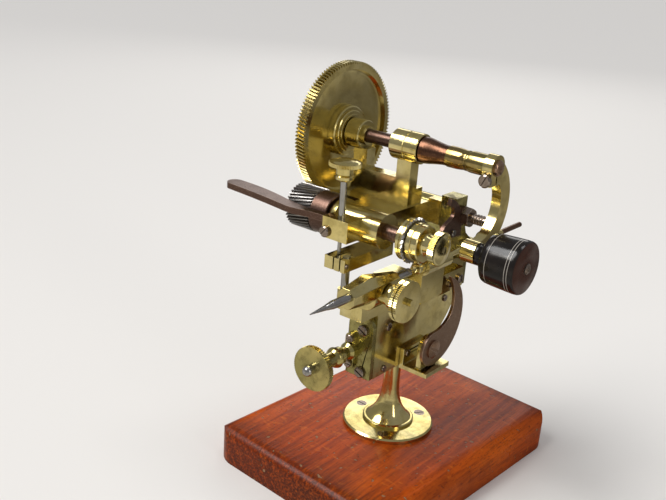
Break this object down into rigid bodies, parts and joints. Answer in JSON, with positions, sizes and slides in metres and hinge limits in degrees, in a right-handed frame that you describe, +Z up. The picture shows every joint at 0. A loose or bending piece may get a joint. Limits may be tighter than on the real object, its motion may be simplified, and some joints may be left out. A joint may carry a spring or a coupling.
{
  "type": "watchmaker's rounding-up tool",
  "caption": "Hand-cranked brass wheel-topping tool: a helical gear drives a small cutter spindle on a hinged head above two runners, on a column and a varnished wooden base.",
  "frame": {"origin": "centre of the column on the underside of the wooden base", "axes": "+X along the crank arbor towards the crank, +Y away from the user along the runners, +Z up"},
  "size_m": [0.1651, 0.1874, 0.2125],
  "materials": {
    "varnish": "reddish brown varnished hardwood",
    "brass": "polished, aged",
    "dark_brass": "darker aged brass",
    "steel": "bright turned steel",
    "brown_steel": "brown patinated steel",
    "ebony": "black turned ebonite"
  },
  "bodies": {
    "root": {"wood_base": "varnish", "base_flange": "brass", "flange_screws": "brown_steel", "column": "brass", "bed": "brass", "end_plate": "brass", "end_plate_screws": "brown_steel", "lead_bearing": "brass", "lead_bearing_screws": "brown_steel", "standard": "brass", "standard_screws": "brown_steel", "back_poppet": "brass", "back_poppet_screws": "brown_steel", "spring_bracket": "brass", "bracket_screws": "brown_steel", "half_moon_spring": "brown_steel", "spring_screw": "brown_steel", "pivot_screws": "brown_steel", "pivot_nuts": "brown_steel", "lock_screw": "brown_steel", "rail_screw": "brown_steel", "guide_finger": "brown_steel", "finger_screw": "steel"},
    "head": {"head_block": "brass", "bearing_frame": "brass", "frame_screws": "brown_steel", "spindle_housing": "brass", "housing_screw": "brown_steel", "lift_lever": "brown_steel"},
    "crank": {"crank_arbor": "brown_steel", "drive_gear": "brass", "gear_hub": "brass", "gear_nut": "brass", "arbor_barrel": "brown_steel", "arbor_collar": "dark_brass", "crank_arm": "brass", "crank_clamp_screw": "brown_steel", "crank_cap_screw": "brown_steel", "handle_pin": "brown_steel"},
    "grip": {"crank_handle": "ebony"},
    "spindle": {"cutter_spindle": "brown_steel", "pinion": "steel", "spindle_drum": "brown_steel", "cutter_flange": "brass", "cutter": "steel", "cutter_nut": "brass", "end_knob": "brass", "set_screw": "steel"},
    "depth_stop": {"stop_rod": "steel", "stop_knob": "brass"},
    "slide": {"carriage": "brass", "front_poppet": "brass", "stop_pin": "steel", "stop_bar": "brass", "stop_bar_screw": "brown_steel"},
    "feed_screw": {"lead_screw": "steel", "lead_knob": "brass"},
    "clamp": {"thumb_screw": "brass"},
    "front_centre": {"front_runner": "steel"},
    "back_centre": {"back_runner": "brass"}
  },
  "joints": [
    {"name": "head_tilt", "type": "hinge", "parent": "root", "child": "head", "pos_m": [0, 0.0205, 0.1415], "axis": [1, 0, 0], "range_deg": [-30, 0]},
    {"name": "crank_turn", "type": "hinge", "parent": "head", "child": "crank", "pos_m": [0, 0, 0.17646], "axis": [1, 0, 0], "continuous": true},
    {"name": "grip_turn", "type": "hinge", "parent": "crank", "child": "grip", "pos_m": [0.062, -0.01199, 0.13726], "axis": [1, 0, 0], "continuous": true},
    {"name": "spindle_turn", "type": "hinge", "parent": "head", "child": "spindle", "pos_m": [0, -0.029, 0.1405], "axis": [1, 0, 0], "continuous": true},
    {"name": "stop_lift", "type": "slide", "parent": "head", "child": "depth_stop", "axis": [0, 0, 1], "range_m": [0, 0.01]},
    {"name": "feed_turn", "type": "hinge", "parent": "root", "child": "feed_screw", "pos_m": [-0.003, 0, 0.075], "axis": [0, 1, 0], "range_deg": [-181, 2161]},
    {"name": "carriage_slide", "type": "slide", "parent": "root", "child": "slide", "axis": [0, 1, 0], "range_m": [-0.012, 0.001]},
    {"name": "clamp_turn", "type": "hinge", "parent": "slide", "child": "clamp", "pos_m": [0.036, -0.0505, 0.1198], "axis": [1, 0, 0], "range_deg": [-90, 90]},
    {"name": "front_centre_slide", "type": "slide", "parent": "slide", "child": "front_centre", "axis": [0, 1, 0], "range_m": [-0.01, 0.001]},
    {"name": "back_centre_slide", "type": "slide", "parent": "root", "child": "back_centre", "axis": [0, 1, 0], "range_m": [-0.0005, 0.02]}
  ],
  "couplings": [
    {"joint": "spindle_turn", "follows": "crank_turn", "ratio": -3.2778},
    {"joint": "feed_turn", "follows": "carriage_slide", "rad_per_m": -3141.6}
  ]
}
